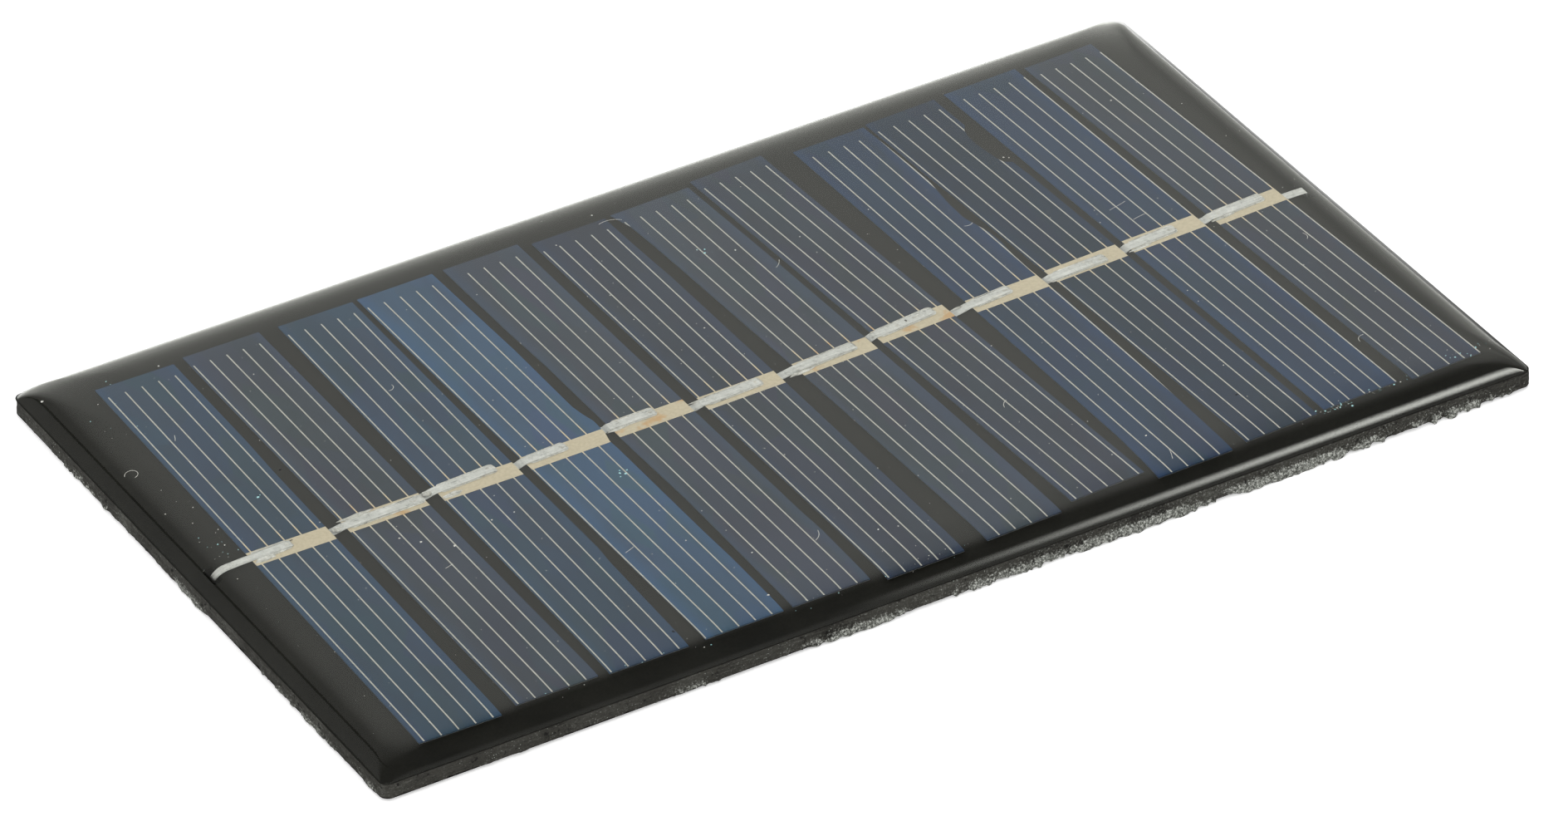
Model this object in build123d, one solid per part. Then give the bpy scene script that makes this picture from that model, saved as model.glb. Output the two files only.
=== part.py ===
from build123d import *
import os
from math import atan2, degrees, hypot, radians, sin
from typing import NamedTuple

# A small solar panel: twelve strips of silicon cell in series on a circuit board, under a domed
# layer of clear epoxy resin.  Millimetres.  +X runs along the string of cells, +Y along each
# strip, +Z towards the sun.  The origin is under the middle of the board, at the level of the
# two solder joints that the panel stands on.

# ---- Board ----
BOARD_LENGTH = 115.0
BOARD_WIDTH = 70.0
BOARD_THICKNESS = 1.5
BOARD_CORNER = 0.9
MASK = 0.03
PAD_COPPER = 0.035
PAD_LENGTH = 6.4
PAD_WIDTH = 5.0
PAD_CORNER = 0.8
PAD_X = 51.4
PAD_GAP = 0.05
BRIDGE_WIDTH = 1.4
SLOT_X = 55.4
SLOT_LENGTH = 2.6
SLOT_WIDTH = 0.9
SLOT_Y = -0.4
MARK_SIZE = 2.4
MARK_LINE = 0.5
MARK_Y = 5.0

# ---- Resin ----
RESIN_HEIGHT = 1.55
RESIN_MARGIN = 0.2
RESIN_CORNER = 2.2
RESIN_ROUNDING = 1.4

# ---- Cells ----
CELL_LENGTH = 62.5
WAFER = 0.2
PASTE = 0.02
BUSBAR_WIDTH = 2.2
FINGER_WIDTH = 0.13
FINGER_PITCH = 1.64
FINGER_COUNT = 5
PRINT_MARGIN = 1.7
PRINT_OVERCUT = 2.0
REAR_MARGIN = 1.0
TACK_LENGTH = 4.0
TACK_WIDTH = 3.0
TACK_CORNER = 0.6
TACK_Y = 20.0

# ---- Ribbons and solder ----
RIBBON_WIDTH = 1.0
RIBBON_THICKNESS = 0.12
RIBBON_TAIL = 6.5
BEND_CLEARANCE = 0.15
FIRST_RAMP = 0.9
SOLDER_FILM = 0.02
SOLDER_SIDE = 0.2
SOLDER_RISE = 0.05
SOLDER_START = 0.3
SOLDER_CORNER = 0.4
JOINT_HEIGHT = 0.295
JOINT_LENGTH = 4.6
JOINT_WIDTH = 3.4
JOINT_X = 51.9
JOINT_ROUNDING = 0.28
JOINT_CORNER = 1.2
FOLD_END_X = 50.2

# ---- Levels, from the solder joints up ----
PAD_BOTTOM = JOINT_HEIGHT
SUBSTRATE_BOTTOM = PAD_BOTTOM + PAD_COPPER
BACK_BOTTOM = SUBSTRATE_BOTTOM - MASK
BOARD_TOP = BACK_BOTTOM + BOARD_THICKNESS
SUBSTRATE_TOP = BOARD_TOP - MASK
REAR_RIBBON_TOP = BOARD_TOP + RIBBON_THICKNESS
REAR_CONTACT_BOTTOM = REAR_RIBBON_TOP + SOLDER_FILM
WAFER_BOTTOM = REAR_CONTACT_BOTTOM + PASTE
WAFER_TOP = WAFER_BOTTOM + WAFER
PRINT_TOP = WAFER_TOP + PASTE
FRONT_RIBBON_BOTTOM = PRINT_TOP + SOLDER_FILM
FRONT_RIBBON_TOP = FRONT_RIBBON_BOTTOM + RIBBON_THICKNESS
RESIN_TOP = BOARD_TOP + RESIN_HEIGHT


class Strip(NamedTuple):
    """One strip of cell, snapped by hand from a wafer and laid a little askew.

    x, y and tilt place its middle.  first_finger is the first finger's distance from the
    middle line, and busbar is how far the busbar sits from the strip's mid length.
    left and right give the snapped edges as (y, inset) points from the back end to the front:
    a positive inset is a bite out of the nominal width and a negative one is a spur.
    """
    x: float
    y: float
    tilt: float
    width: float
    first_finger: float
    busbar: float
    left: tuple = ()
    right: tuple = ()


STRIPS = [
    Strip(-48.1, -0.95, -0.95, 7.80, -3.40, 0.30,
          right=((31.25, 0.05), (17.0, -0.02), (11.0, 0.08), (-31.25, -0.05))),
    Strip(-38.9, -0.55, -0.40, 7.80, -3.65, 0.00,
          right=((31.25, 0.20), (-12.0, -0.05), (-31.25, -0.15))),
    Strip(-29.8, -0.80, -0.85, 7.60, -3.60, 0.00,
          right=((31.25, 0.15), (-2.0, -0.15), (-14.5, -0.35), (-17.0, -0.20), (-31.25, -0.05))),
    Strip(-21.1, -0.75, 0.25, 7.70, -3.70, 0.10,
          left=((31.25, -0.05), (-31.25, 0.10)),
          right=((31.25, 0.10), (16.3, -0.15), (5.7, -0.05), (4.1, -0.25), (2.7, -0.55),
                 (0.6, -0.50), (-0.8, -0.20), (-2.3, -0.25), (-17.0, -0.20), (-22.0, -0.25),
                 (-31.25, -0.10))),
    Strip(-12.4, -0.70, 0.15, 7.60, -2.25, 0.25,
          left=((31.25, -0.10), (18.7, 0.00), (12.6, 0.20), (-2.3, 0.20), (-12.3, 0.35),
                (-18.5, 0.25), (-31.25, 0.05)),
          right=((31.25, 0.05), (-19.7, -0.20), (-22.9, -0.30), (-31.25, -0.10))),
    Strip(-3.5, -1.30, 0.35, 7.60, -3.60, 0.35,
          left=((31.25, -0.10), (-31.25, 0.05)),
          right=((31.25, 0.15), (25.6, 0.05), (19.4, -0.15), (3.3, -0.20), (-31.25, -0.15))),
    Strip(5.8, -1.00, 1.40, 7.70, -3.88, 0.20,
          left=((31.25, -0.55), (30.1, -0.30), (28.5, 0.05), (24.1, 0.20), (13.0, 0.30),
                (-1.9, 0.45), (-26.8, 0.40), (-31.25, 0.35)),
          right=((31.25, 0.05), (19.0, -0.20), (-2.1, -0.40), (-15.0, -0.40), (-31.25, -0.25))),
    Strip(14.6, 0.00, 2.50, 7.60, -3.30, -0.10),
    Strip(23.9, -0.95, 0.90, 7.70, -2.55, 0.45,
          left=((31.25, 0.20), (-2.0, 0.35), (-24.5, 0.25), (-31.25, -0.10)),
          right=((31.25, 0.00), (27.9, -0.12), (20.5, -0.30), (16.0, 0.20), (13.2, 0.30),
                 (11.5, -0.05), (10.0, -0.35), (7.8, -0.40), (5.8, -0.20), (2.9, -0.15),
                 (-2.1, -0.30), (-17.0, -0.20), (-31.25, 0.15))),
    Strip(32.4, -0.45, 1.85, 7.50, -3.40, 0.30,
          left=((31.25, -0.02), (21.2, 0.00), (15.7, 0.15), (2.6, 0.15), (-2.4, 0.25),
                (-31.25, 0.05)),
          right=((31.25, 0.10), (25.9, 0.10), (25.2, 0.60), (24.2, 0.85), (22.7, 0.95),
                 (21.0, 0.85), (19.5, 0.70), (18.7, 0.50), (18.2, -0.15), (15.5, -0.25),
                 (2.3, -0.25), (-31.25, -0.05))),
    Strip(41.0, 0.00, 1.60, 7.70, -2.78, 0.20),
    Strip(49.6, -0.15, 2.15, 7.30, -2.98, 0.05),
]


class Ribbon(NamedTuple):
    """One solder-coated ribbon: the point where its front run starts, beside the edge of the
    strip before, and the point on the busbar where that run ends."""
    start_x: float
    start_y: float
    end_x: float
    end_y: float


# Ribbon n lands on the busbar of strip n.  The last strip's rear ribbon is modelled apart.
RIBBONS = [
    Ribbon(-55.4, -0.40, -48.2, -0.25),
    Ribbon(-44.1, -0.50, -35.2, -0.40),
    Ribbon(-34.9, -0.05, -27.7, 0.30),
    Ribbon(-25.8, -0.35, -20.8, -0.10),
    Ribbon(-16.7, 0.35, -11.6, 0.40),
    Ribbon(-8.3, -0.90, -1.4, -0.60),
    Ribbon(0.6, -0.75, 8.4, -0.25),
    Ribbon(9.9, 0.05, 17.1, 0.80),
    Ribbon(18.5, -0.50, 24.6, 0.05),
    Ribbon(27.9, -0.50, 34.4, -0.25),
    Ribbon(36.4, 0.00, 42.1, 0.45),
    Ribbon(45.1, 0.20, 51.4, 0.55),
]


def slab(sketch, bottom, top):
    """Extrude a sketch on the XY plane between two levels."""
    return extrude(Pos(0, 0, bottom) * sketch, top - bottom)


def mirrored(shape):
    """The same shape at the other end of the board."""
    return mirror(shape, about=Plane.YZ)


# ---- Board ----

def slot_sketch():
    """The slot at the left end that a ribbon goes down through."""
    return Pos(-SLOT_X, SLOT_Y) * SlotOverall(SLOT_LENGTH, SLOT_WIDTH, rotation=90)


def pad_sketch(grow):
    """The left solder pad's outline, grown by a clearance all round."""
    pad = RectangleRounded(PAD_LENGTH + 2 * grow, PAD_WIDTH + 2 * grow, PAD_CORNER)
    return Pos(-PAD_X, SLOT_Y) * pad


def board_layer(bottom, top):
    """One full-size layer of the board with both slots through it."""
    slot = slab(slot_sketch(), bottom, top)
    layer = slab(RectangleRounded(BOARD_LENGTH, BOARD_WIDTH, BOARD_CORNER), bottom, top)
    return layer - slot - mirrored(slot)


def pad_opening():
    """Where the back mask leaves the left pad bare, with a bridge for the ribbon to the slot."""
    bridge = Pos(-(PAD_X + SLOT_X) / 2, SLOT_Y) * Rectangle(SLOT_X - PAD_X, BRIDGE_WIDTH)
    return slab(pad_sketch(PAD_GAP) + bridge, BACK_BOTTOM, SUBSTRATE_BOTTOM)


def polarity_marks():
    """A minus beside the left pad and a plus beside the right one, flush with the mask."""
    minus = Rectangle(MARK_SIZE, MARK_LINE)
    plus = minus + Rectangle(MARK_LINE, MARK_SIZE)
    return [
        slab(Pos(-PAD_X, MARK_Y) * minus, BACK_BOTTOM, SUBSTRATE_BOTTOM),
        slab(Pos(PAD_X, MARK_Y) * plus, BACK_BOTTOM, SUBSTRATE_BOTTOM),
    ]


def make_board():
    """The laminate, its solder masks, the two pads and the tinned plus and minus."""
    pad = slab(pad_sketch(0), PAD_BOTTOM, SUBSTRATE_BOTTOM)
    marks = polarity_marks()
    back_mask = board_layer(BACK_BOTTOM, SUBSTRATE_BOTTOM)
    for opening in (pad_opening(), mirrored(pad_opening()), *marks):
        back_mask -= opening
    return {
        "substrate": board_layer(SUBSTRATE_BOTTOM, SUBSTRATE_TOP),
        "front_mask": board_layer(SUBSTRATE_TOP, BOARD_TOP),
        "back_mask": back_mask,
        "pad_negative": pad,
        "pad_positive": mirrored(pad),
        "polarity_marks": Compound(children=marks),
    }


# ---- Cells ----

def place(strip):
    """The strip's own frame: middle at the origin, fingers along Y."""
    return Pos(strip.x, strip.y) * Rot(0, 0, strip.tilt)


def strip_outline(strip):
    """The strip's outline with its snapped edges, in its own frame."""
    half = strip.width / 2
    end = CELL_LENGTH / 2
    left = strip.left or ((end, 0.0), (-end, 0.0))
    right = strip.right or ((end, 0.0), (-end, 0.0))
    down = [(inset - half, y) for y, inset in left]
    up = [(half - inset, y) for y, inset in reversed(right)]
    return make_face(Polyline(*down, *up, close=True))


def edge_x(points, sign, strip, y):
    """The X of a snapped edge at the height y of the board, near the strip's middle."""
    points = points or ((CELL_LENGTH / 2, 0.0), (-CELL_LENGTH / 2, 0.0))
    local_y = y - strip.y
    for (y_above, above), (y_below, below) in zip(points, points[1:]):
        if y_below <= local_y <= y_above:
            share = (local_y - y_below) / (y_above - y_below)
            inset = below + share * (above - below)
            return strip.x + sign * (strip.width / 2 - inset) - local_y * sin(radians(strip.tilt))
    return strip.x + sign * strip.width / 2


def left_edge(strip, y):
    return edge_x(strip.left, -1, strip, y)


def right_edge(strip, y):
    return edge_x(strip.right, 1, strip, y)


def front_print(strip):
    """The silver print on the sunny side: a busbar across the strip and fingers along it."""
    end = CELL_LENGTH / 2
    length = CELL_LENGTH - PRINT_MARGIN
    pattern = Pos(0, strip.busbar) * Rectangle(strip.width + PRINT_OVERCUT, BUSBAR_WIDTH)
    for count in range(FINGER_COUNT):
        x = strip.first_finger + count * FINGER_PITCH
        pattern += Pos(x, length / 2 - end) * Rectangle(FINGER_WIDTH, length)
    return pattern & strip_outline(strip)


def rear_print(strip):
    """The metal paste on the underside, which stops short of the wafer's back rim."""
    length = CELL_LENGTH - REAR_MARGIN
    window = Pos(0, -REAR_MARGIN / 2) * Rectangle(strip.width + PRINT_OVERCUT, length)
    return window & strip_outline(strip)


def make_cells():
    """Every strip with its prints, and the two adhesive pads that hold it to the board."""
    nodes = {}
    rear = []
    tacks = []
    for number, strip in enumerate(STRIPS, 1):
        here = place(strip)
        nodes[f"cell_{number:02d}"] = slab(here * strip_outline(strip), WAFER_BOTTOM, WAFER_TOP)
        nodes[f"front_grid_{number:02d}"] = slab(here * front_print(strip), WAFER_TOP, PRINT_TOP)
        rear.append(slab(here * rear_print(strip), REAR_CONTACT_BOTTOM, WAFER_BOTTOM))
        for y in (TACK_Y, -TACK_Y):
            tack = here * Pos(0, y) * RectangleRounded(TACK_WIDTH, TACK_LENGTH, TACK_CORNER)
            tacks.append(slab(tack, BOARD_TOP, REAR_CONTACT_BOTTOM))
    nodes["rear_contacts"] = Compound(children=rear)
    nodes["cell_adhesive"] = Compound(children=tacks)
    return nodes


# ---- Ribbons and solder ----

def ribbon_frame(ribbon):
    """The ribbon's own frame: X along it from the start of its front run."""
    turn = degrees(atan2(ribbon.end_y - ribbon.start_y, ribbon.end_x - ribbon.start_x))
    return Pos(ribbon.start_x, ribbon.start_y) * Rot(0, 0, turn)


def front_run(ribbon, strip):
    """How far along the ribbon its strip's edge is, and the end of its front run."""
    edge = left_edge(strip, ribbon.start_y) - ribbon.start_x
    return edge, hypot(ribbon.end_x - ribbon.start_x, ribbon.end_y - ribbon.start_y)


def bent_strip(points):
    """A flat strip of ribbon whose lower face follows points given as (along, level)."""
    over = [(along, level + RIBBON_THICKNESS) for along, level in reversed(points)]
    profile = Plane.XZ * make_face(Polyline(*points, *over, close=True))
    return extrude(profile, RIBBON_WIDTH / 2, both=True)


def linking_ribbon(ribbon, strip):
    """From under the strip before, up through the gap and along this strip's busbar."""
    edge, end = front_run(ribbon, strip)
    points = [
        (-RIBBON_TAIL, BOARD_TOP),
        (BEND_CLEARANCE, BOARD_TOP),
        (edge - BEND_CLEARANCE, FRONT_RIBBON_BOTTOM),
        (end, FRONT_RIBBON_BOTTOM),
    ]
    return ribbon_frame(ribbon) * bent_strip(points)


def slot_drop(y):
    """The ribbon's way down through the left slot and back along the pad."""
    fold = Box(SLOT_X - FOLD_END_X, RIBBON_WIDTH, RIBBON_THICKNESS,
               align=(Align.MIN, Align.CENTER, Align.MAX))
    drop = Box(RIBBON_THICKNESS, RIBBON_WIDTH, REAR_RIBBON_TOP - PAD_BOTTOM + RIBBON_THICKNESS,
               align=(Align.MIN, Align.CENTER, Align.MIN))
    return Pos(-SLOT_X, y, PAD_BOTTOM) * (fold + Pos(0, 0, -RIBBON_THICKNESS) * drop)


def first_ribbon(ribbon, strip):
    """From the left slot, along the board and up onto the first strip's busbar."""
    edge, end = front_run(ribbon, strip)
    points = [
        (0, BOARD_TOP),
        (edge - FIRST_RAMP, BOARD_TOP),
        (edge - BEND_CLEARANCE, FRONT_RIBBON_BOTTOM),
        (end, FRONT_RIBBON_BOTTOM),
    ]
    return ribbon_frame(ribbon) * bent_strip(points) + slot_drop(ribbon.start_y)


def last_ribbon():
    """From under the last strip, along the board and down through the right slot."""
    inner_x = right_edge(STRIPS[-1], SLOT_Y) - RIBBON_TAIL
    flat = Box(SLOT_X - inner_x, RIBBON_WIDTH, RIBBON_THICKNESS,
               align=(Align.MIN, Align.CENTER, Align.MIN))
    return Pos(inner_x, SLOT_Y, BOARD_TOP) * flat + mirrored(slot_drop(SLOT_Y))


def front_solder(ribbon, strip, solid):
    """The solder between one ribbon and its busbar, which wets up the ribbon's sides."""
    edge, end = front_run(ribbon, strip)
    start = edge + SOLDER_START
    length = end + SOLDER_SIDE - start
    bead = RectangleRounded(length, RIBBON_WIDTH + 2 * SOLDER_SIDE, SOLDER_CORNER)
    here = ribbon_frame(ribbon) * Pos(start + length / 2, 0)
    return slab(here * bead, PRINT_TOP, FRONT_RIBBON_BOTTOM + SOLDER_RISE) - solid


def rear_solder(here):
    """The film of solder over a ribbon's tail, under the strip that the tail serves."""
    length = RIBBON_TAIL - 2 * SOLDER_START
    film = Box(length, RIBBON_WIDTH, SOLDER_FILM, align=(Align.MAX, Align.CENTER, Align.MIN))
    return here * Pos(-SOLDER_START, 0, REAR_RIBBON_TOP) * film


def terminal_joint():
    """The left pad's solder joint, rounded off below and flat where it stands."""
    block = Box(JOINT_LENGTH, JOINT_WIDTH, JOINT_HEIGHT,
                align=(Align.CENTER, Align.CENTER, Align.MIN))
    corners = block.edges().filter_by(Axis.Z)
    block = fillet(corners, JOINT_CORNER)
    rim = block.faces().sort_by(Axis.Z)[0].edges()
    return Pos(-JOINT_X, SLOT_Y) * fillet(rim, JOINT_ROUNDING)


def make_ribbons():
    """The thirteen ribbons and every solder joint."""
    nodes = {}
    fronts = []
    rears = []
    for number, (ribbon, strip) in enumerate(zip(RIBBONS, STRIPS), 1):
        make = first_ribbon if number == 1 else linking_ribbon
        solid = make(ribbon, strip)
        nodes[f"ribbon_{number:02d}"] = solid
        fronts.append(front_solder(ribbon, strip, solid))
        if number > 1:
            rears.append(rear_solder(ribbon_frame(ribbon)))
    nodes["ribbon_13"] = last_ribbon()
    rears.append(rear_solder(Pos(right_edge(STRIPS[-1], SLOT_Y), SLOT_Y)))
    joint = terminal_joint()
    joints = [joint - nodes["ribbon_01"], mirrored(joint) - nodes["ribbon_13"]]
    nodes["front_solder"] = Compound(children=fronts)
    nodes["rear_solder"] = Compound(children=rears)
    nodes["terminal_solder"] = Compound(children=joints)
    return nodes


# ---- Resin ----

def make_resin(cells, ribbons):
    """The clear dome, poured round everything on the board and down both slots."""
    plan = RectangleRounded(BOARD_LENGTH - 2 * RESIN_MARGIN, BOARD_WIDTH - 2 * RESIN_MARGIN,
                            RESIN_CORNER)
    dome = slab(plan, BOARD_TOP, RESIN_TOP)
    rim = dome.faces().sort_by(Axis.Z)[-1].edges()
    dome = fillet(rim, RESIN_ROUNDING)
    plug = slab(slot_sketch(), SUBSTRATE_BOTTOM, BOARD_TOP)
    resin = dome + plug + mirrored(plug)
    for number, strip in enumerate(STRIPS, 1):
        resin -= slab(place(strip) * strip_outline(strip), BOARD_TOP, WAFER_TOP)
        resin -= cells[f"front_grid_{number:02d}"]
    for number in range(1, len(RIBBONS) + 2):
        resin -= ribbons[f"ribbon_{number:02d}"]
    for bead in ribbons["front_solder"].solids():
        resin -= bead
    return resin


# ---- Output ----

board = make_board()
cells = make_cells()
ribbons = make_ribbons()
resin = {"resin_dome": make_resin(cells, ribbons)}

os.makedirs("parts", exist_ok=True)
for name, shape in {**board, **cells, **ribbons, **resin}.items():
    export_step(shape, f"parts/{name}.step")
    print(f"{name:18s} {len(shape.solids()):3d} solids {shape.volume:9.2f} mm3")
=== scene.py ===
from math import cos, exp, hypot, pi, radians, sin
from random import Random

import bmesh
import bpy
from mathutils import Matrix, Vector, noise


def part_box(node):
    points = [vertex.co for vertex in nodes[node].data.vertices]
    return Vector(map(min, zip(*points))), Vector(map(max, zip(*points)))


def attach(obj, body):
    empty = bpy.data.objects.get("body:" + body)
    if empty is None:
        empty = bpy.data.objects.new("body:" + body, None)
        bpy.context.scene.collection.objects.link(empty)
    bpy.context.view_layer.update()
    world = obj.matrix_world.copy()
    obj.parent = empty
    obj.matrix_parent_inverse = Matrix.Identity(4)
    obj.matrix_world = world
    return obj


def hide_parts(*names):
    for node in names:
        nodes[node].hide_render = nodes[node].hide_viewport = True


# The looks of a small solar panel: twelve strips of silicon cell on a circuit board under clear
# resin.  The frame gives every level and place.  Lengths named here are millimetres, and MM
# turns them into the metres of the frame.

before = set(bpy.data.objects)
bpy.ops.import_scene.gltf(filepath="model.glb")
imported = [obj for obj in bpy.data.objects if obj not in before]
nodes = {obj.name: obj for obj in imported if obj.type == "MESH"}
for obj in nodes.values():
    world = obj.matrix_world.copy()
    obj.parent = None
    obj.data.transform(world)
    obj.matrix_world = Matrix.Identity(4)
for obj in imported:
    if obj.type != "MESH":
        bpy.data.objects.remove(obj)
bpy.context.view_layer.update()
MM = 0.001

# ---- Levels and sizes taken from the frame, in millimetres ----


def span(node):
    """The lowest and highest corner of a CAD node, in millimetres."""
    low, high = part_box(node)
    return low / MM, high / MM


BOARD_LOW, BOARD_HIGH = span("substrate")
MASK_TOP = span("front_mask")[1].z
RESIN_HIGH = span("resin_dome")[1]
RESIN_TOP = RESIN_HIGH.z
RIBBON_TOP = span("ribbon_06")[1].z
PRINT_TOP = span("front_grid_06")[1].z

# ---- The resin's shape ----
RESIN_GROW = 0.13
RESIN_CORNER = 0.8
RESIN_CORNER_GROWTH = 1.3
RIM_REACH = 0.92
RIM_WIDTH = 6.5
EMBED = 0.005

# ---- The sawn board edge ----
BOARD_CORNER = 0.9
EDGE_STEP = 0.22
EDGE_LEVELS = 10
EDGE_ROUGHNESS = 0.12
FRINGE_DEPTH = 0.30
FRINGE_DROP = 0.42
SLOT_LENGTH = 2.6
SLOT_WIDTH = 0.9
SLOT_X = 55.4
SLOT_Y = -0.4
SLOT_FLOOR = 0.5


# ---- Small helpers for meshes ----

def rough(x, y, z, scale, seed):
    """Smooth noise from -1 to 1 whose lumps are about scale millimetres wide."""
    return noise.noise(Vector((x / scale + seed * 17.3, y / scale - seed * 9.1, z / scale)))


def smooth_step(low, high, value):
    share = min(max((value - low) / (high - low), 0.0), 1.0)
    return share * share * (3 - 2 * share)


def rounded_rectangle(half_x, half_y, radius, steps_x, steps_y, corner_steps):
    """Points anticlockwise round a rectangle with round corners, each with its outward normal."""
    ring = []
    corners = ((1, -1, -90), (1, 1, 0), (-1, 1, 90), (-1, -1, 180))
    steps = (steps_y, steps_x, steps_y, steps_x)
    for count, (sign_x, sign_y, start) in enumerate(corners):
        centre = Vector((sign_x * (half_x - radius), sign_y * (half_y - radius)))
        for k in range(corner_steps + 1):
            turn = radians(start + 90 * k / corner_steps)
            normal = Vector((cos(turn), sin(turn)))
            ring.append((centre + radius * normal, normal))
        after_x, after_y, _ = corners[(count + 1) % 4]
        goal = Vector((after_x * (half_x - radius), after_y * (half_y - radius)))
        goal += radius * normal
        here = ring[-1][0]
        for k in range(1, steps[count]):
            ring.append((here.lerp(goal, k / steps[count]), normal))
    return ring


def slot_outline(side, steps=10):
    """The round-ended slot in the board at one end."""
    reach = (SLOT_LENGTH - SLOT_WIDTH) / 2
    points = []
    for end in (1, -1):
        for k in range(steps + 1):
            turn = pi * k / steps + (0 if end > 0 else pi)
            points.append((side * SLOT_X + SLOT_WIDTH / 2 * cos(turn),
                           SLOT_Y + end * reach + SLOT_WIDTH / 2 * sin(turn)))
    return points


def join_rings(low, high):
    """Quads between two closed rings of point numbers, the second one above the first."""
    count = len(low)
    return [(low[i], low[(i + 1) % count], high[(i + 1) % count], high[i]) for i in range(count)]


def fill_with_holes(mesh_build, outer, holes):
    """Fill one level outline that has holes in it, from its vertices."""
    edges = []
    for ring in (outer, *holes):
        for a, b in zip(ring, ring[1:] + ring[:1]):
            edges.append(mesh_build.edges.get((a, b)) or mesh_build.edges.new((a, b)))
    bmesh.ops.triangle_fill(mesh_build, use_beauty=True, use_dissolve=False, edges=edges)


def piece_from_build(name, build, materials, smooth=True):
    """Turn a bmesh in millimetres into an object on the root body."""
    bmesh.ops.recalc_face_normals(build, faces=build.faces)
    bmesh.ops.scale(build, vec=(MM, MM, MM), verts=build.verts)
    mesh = bpy.data.meshes.new(name)
    build.to_mesh(mesh)
    build.free()
    mesh.polygons.foreach_set("use_smooth", [smooth] * len(mesh.polygons))
    for material in materials:
        mesh.materials.append(material)
    piece = bpy.data.objects.new(name, mesh)
    bpy.context.scene.collection.objects.link(piece)
    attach(piece, "root")
    return piece


# ---- Small helpers for materials ----

def linear(red, green, blue):
    """A colour given as sRGB values from 0 to 255."""
    channels = []
    for value in (red, green, blue):
        share = value / 255
        channels.append(share / 12.92 if share <= 0.04045 else ((share + 0.055) / 1.055) ** 2.4)
    return (*channels, 1.0)


class Graph:
    """A short way to build one node tree.  Positions in it are millimetres in the row frame."""

    def __init__(self, tree):
        self.tree = tree
        tree.nodes.clear()

    def feed(self, socket, value):
        if isinstance(value, bpy.types.NodeSocket):
            self.tree.links.new(value, socket)
        else:
            socket.default_value = value

    def add(self, kind, settings=None, inputs=None):
        made = self.tree.nodes.new("ShaderNode" + kind)
        for key, value in (settings or {}).items():
            setattr(made, key, value)
        for key, value in (inputs or {}).items():
            self.feed(made.inputs[key], value)
        return made

    def place(self, stretch=(1, 1, 1), turn=0.0, shift=(0, 0, 0)):
        """The point being shaded, in millimetres, turned about Z and stretched."""
        where = self.add("TexCoord").outputs["Object"]
        scale = tuple(s / MM for s in stretch)
        return self.add("Mapping", None, {"Vector": where, "Location": shift, "Scale": scale,
                                          "Rotation": (0, 0, turn)}).outputs[0]

    def noise(self, size, where, detail=3.0, roughness=0.55):
        """Noise from 0 to 1 with lumps about size millimetres wide."""
        made = self.add("TexNoise", None, {"Vector": where, "Scale": 1 / size, "Detail": detail,
                                           "Roughness": roughness, "Distortion": 0.0})
        return made.outputs[0]

    def cells(self, size, where, output="Distance"):
        """Crystal-like cells about size millimetres wide."""
        made = self.add("TexVoronoi", {"feature": "F1"},
                        {"Vector": where, "Scale": 1 / size, "Randomness": 1.0})
        return made.outputs[output]

    def math(self, operation, a, b=0.0, c=0.0, clamp=False):
        made = self.add("Math", {"operation": operation, "use_clamp": clamp})
        for socket, value in zip(made.inputs, (a, b, c)):
            self.feed(socket, value)
        return made.outputs[0]

    def between(self, value, low, high, to_low=0.0, to_high=1.0):
        """Ease a value from one range to another."""
        made = self.add("MapRange", {"interpolation_type": "SMOOTHSTEP"},
                        {"Value": value, "From Min": low, "From Max": high,
                         "To Min": to_low, "To Max": to_high})
        return made.outputs[0]

    def blend(self, factor, a, b, kind="MIX"):
        made = self.add("Mix", {"data_type": "RGBA", "blend_type": kind})
        for number, value in ((0, factor), (6, a), (7, b)):
            self.feed(made.inputs[number], value)
        return made.outputs[2]

    def ramp(self, value, stops, smooth=True):
        made = self.add("ValToRGB", None, {"Fac": value})
        bar = made.color_ramp
        bar.interpolation = "EASE" if smooth else "LINEAR"
        while len(bar.elements) < len(stops):
            bar.elements.new(0.5)
        for element, (at, colour) in zip(bar.elements, stops):
            element.position = at
            element.color = colour
        return made.outputs[0]

    def bump(self, height, depth):
        """Relief of about depth millimetres."""
        inputs = {"Height": height, "Distance": depth * MM, "Strength": 1.0}
        return self.add("Bump", None, inputs).outputs[0]

    def surface(self, shader):
        output = self.add("OutputMaterial")
        self.tree.links.new(shader, output.inputs["Surface"])


def new_material(name):
    material = bpy.data.materials.new(name)
    material.use_nodes = True
    return material, Graph(material.node_tree)


def principled(graph, colour, roughness, normal=None, **sockets):
    inputs = {"Base Color": colour, "Roughness": roughness}
    if normal is not None:
        inputs["Normal"] = normal
    for key, value in sockets.items():
        inputs[key.replace("_", " ")] = value
    graph.surface(graph.add("BsdfPrincipled", None, inputs).outputs[0])


# ---- Materials ----

RESIN_IOR = 1.53


def resin_material():
    """Clear glossy epoxy.  Shadow and diffuse rays go straight through it."""
    material, g = new_material("clear_resin")
    glass = g.add("BsdfGlass", None, {"Color": (0.985, 0.99, 0.975, 1), "Roughness": 0.0,
                                      "IOR": RESIN_IOR}).outputs[0]
    clear = g.add("BsdfTransparent", None, {"Color": (0.93, 0.935, 0.92, 1)}).outputs[0]
    path = g.add("LightPath").outputs
    through = g.math("MAXIMUM", path["Is Shadow Ray"], path["Is Diffuse Ray"])
    mixed = g.add("MixShader", None, {0: through, 1: glass, 2: clear})
    g.surface(mixed.outputs[0])
    return material


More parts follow.
